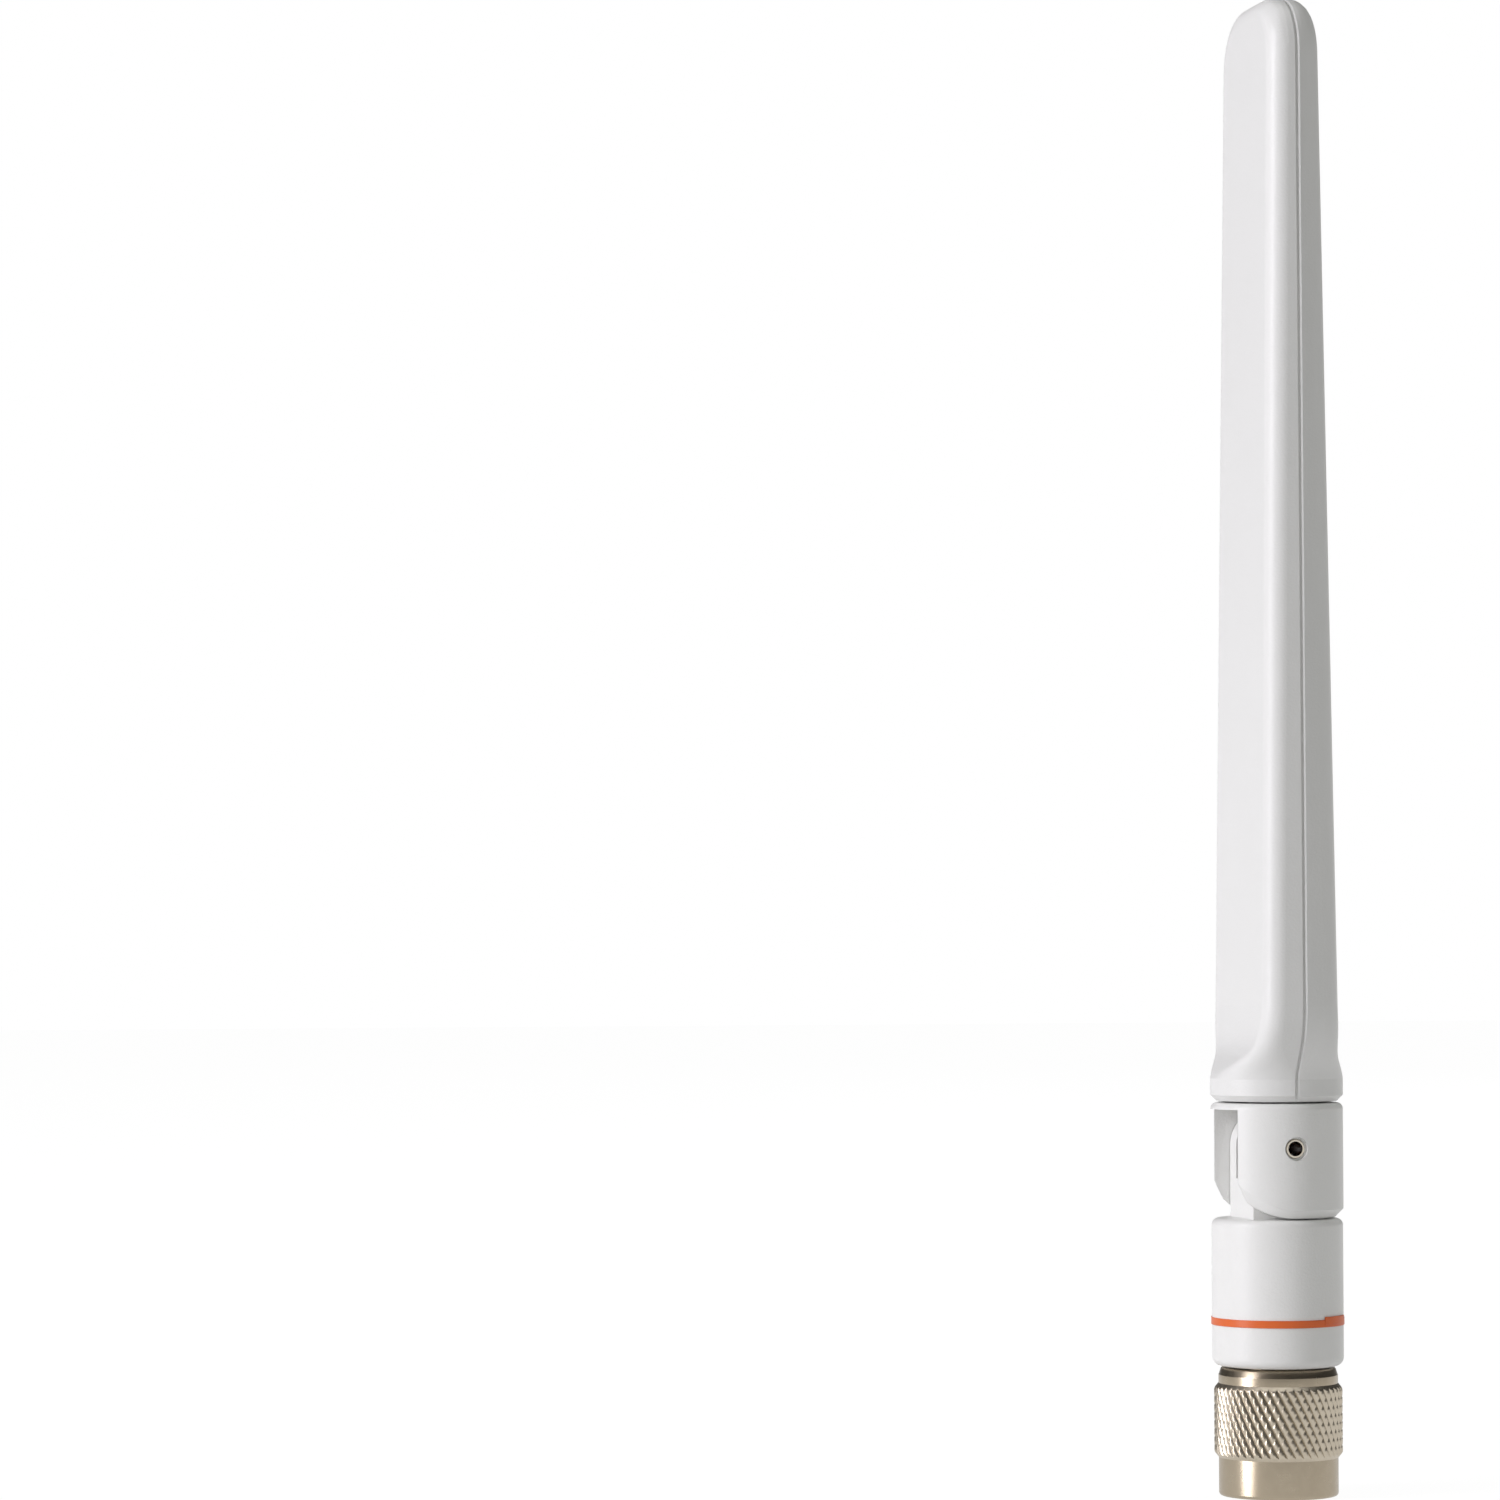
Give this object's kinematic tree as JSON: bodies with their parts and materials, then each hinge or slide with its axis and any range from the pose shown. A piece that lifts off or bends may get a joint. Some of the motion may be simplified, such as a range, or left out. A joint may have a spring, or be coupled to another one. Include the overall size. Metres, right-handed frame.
{
  "type": "wifi antenna",
  "caption": "Flat paddle antenna with a threaded coaxial plug: the collar swivels on the plug and the blade folds over at a knuckle hinge.",
  "frame": {"origin": "centre of the coupling nut's mating end, on the plug's axis", "axes": "+Z along the plug and the upright blade, towards the blade's tip; X through the blade's thickness, with -X the side that the blade folds to; Y across the blade's width, along the hinge pins"},
  "size_m": [0.015, 0.021, 0.1685],
  "materials": {
    "nickel_plate": "satin nickel plate over brass",
    "gold_plate": "polished gold plate over brass",
    "spring_bronze": "plain spring bronze",
    "silver_copper": "silver plated copper",
    "copper_foil": "plain copper foil",
    "solder": "smooth solder",
    "white_plastic": "satin moulded",
    "white_dielectric": "waxy fluoropolymer",
    "brown_jacket": "glossy fluoropolymer jacket",
    "green_board": "solder mask on glass epoxy",
    "orange_tape": "satin vinyl tape",
    "red_rubber": "matte silicone",
    "black_rubber": "matte nitrile"
  },
  "bodies": {
    "connector": {"connector_body": "nickel_plate", "insulator": "white_dielectric", "centre_contact": "gold_plate", "nut_ring": "spring_bronze", "mating_gasket": "red_rubber", "swivel_o_ring": "black_rubber", "crimp_ferrule": "nickel_plate", "cable_braid": "silver_copper", "cable_dielectric_lower": "white_dielectric", "cable_wire_lower": "silver_copper", "cable_jacket_lower": "brown_jacket"},
    "nut": {"coupling_nut": "nickel_plate"},
    "base": {"swivel_collar": "white_plastic", "colour_band": "orange_tape", "cable_jacket_hinge": "brown_jacket"},
    "blade": {"knuckle_fork": "white_plastic", "hinge_pin_near": "nickel_plate", "hinge_pin_far": "nickel_plate", "shell_back": "white_plastic", "shell_fold": "white_plastic", "circuit_board": "green_board", "dipole_arm_lower": "copper_foil", "dipole_arm_upper": "copper_foil", "cable_jacket_upper": "brown_jacket", "cable_dielectric_upper": "white_dielectric", "cable_wire_upper": "silver_copper", "solder_ground": "solder", "solder_feed": "solder"}
  },
  "joints": [
    {"name": "nut_turn", "type": "hinge", "parent": "connector", "child": "nut", "pos_m": [0, 0, 0.0133], "axis": [0, 0, 1], "continuous": true},
    {"name": "base_swivel", "type": "hinge", "parent": "connector", "child": "base", "pos_m": [0, 0, 0.0228], "axis": [0, 0, 1], "continuous": true},
    {"name": "blade_fold", "type": "hinge", "parent": "base", "child": "blade", "pos_m": [0, 0, 0.0391], "axis": [0, -1, 0], "range_deg": [0, 90], "deforming": ["cable_jacket_hinge"]}
  ]
}
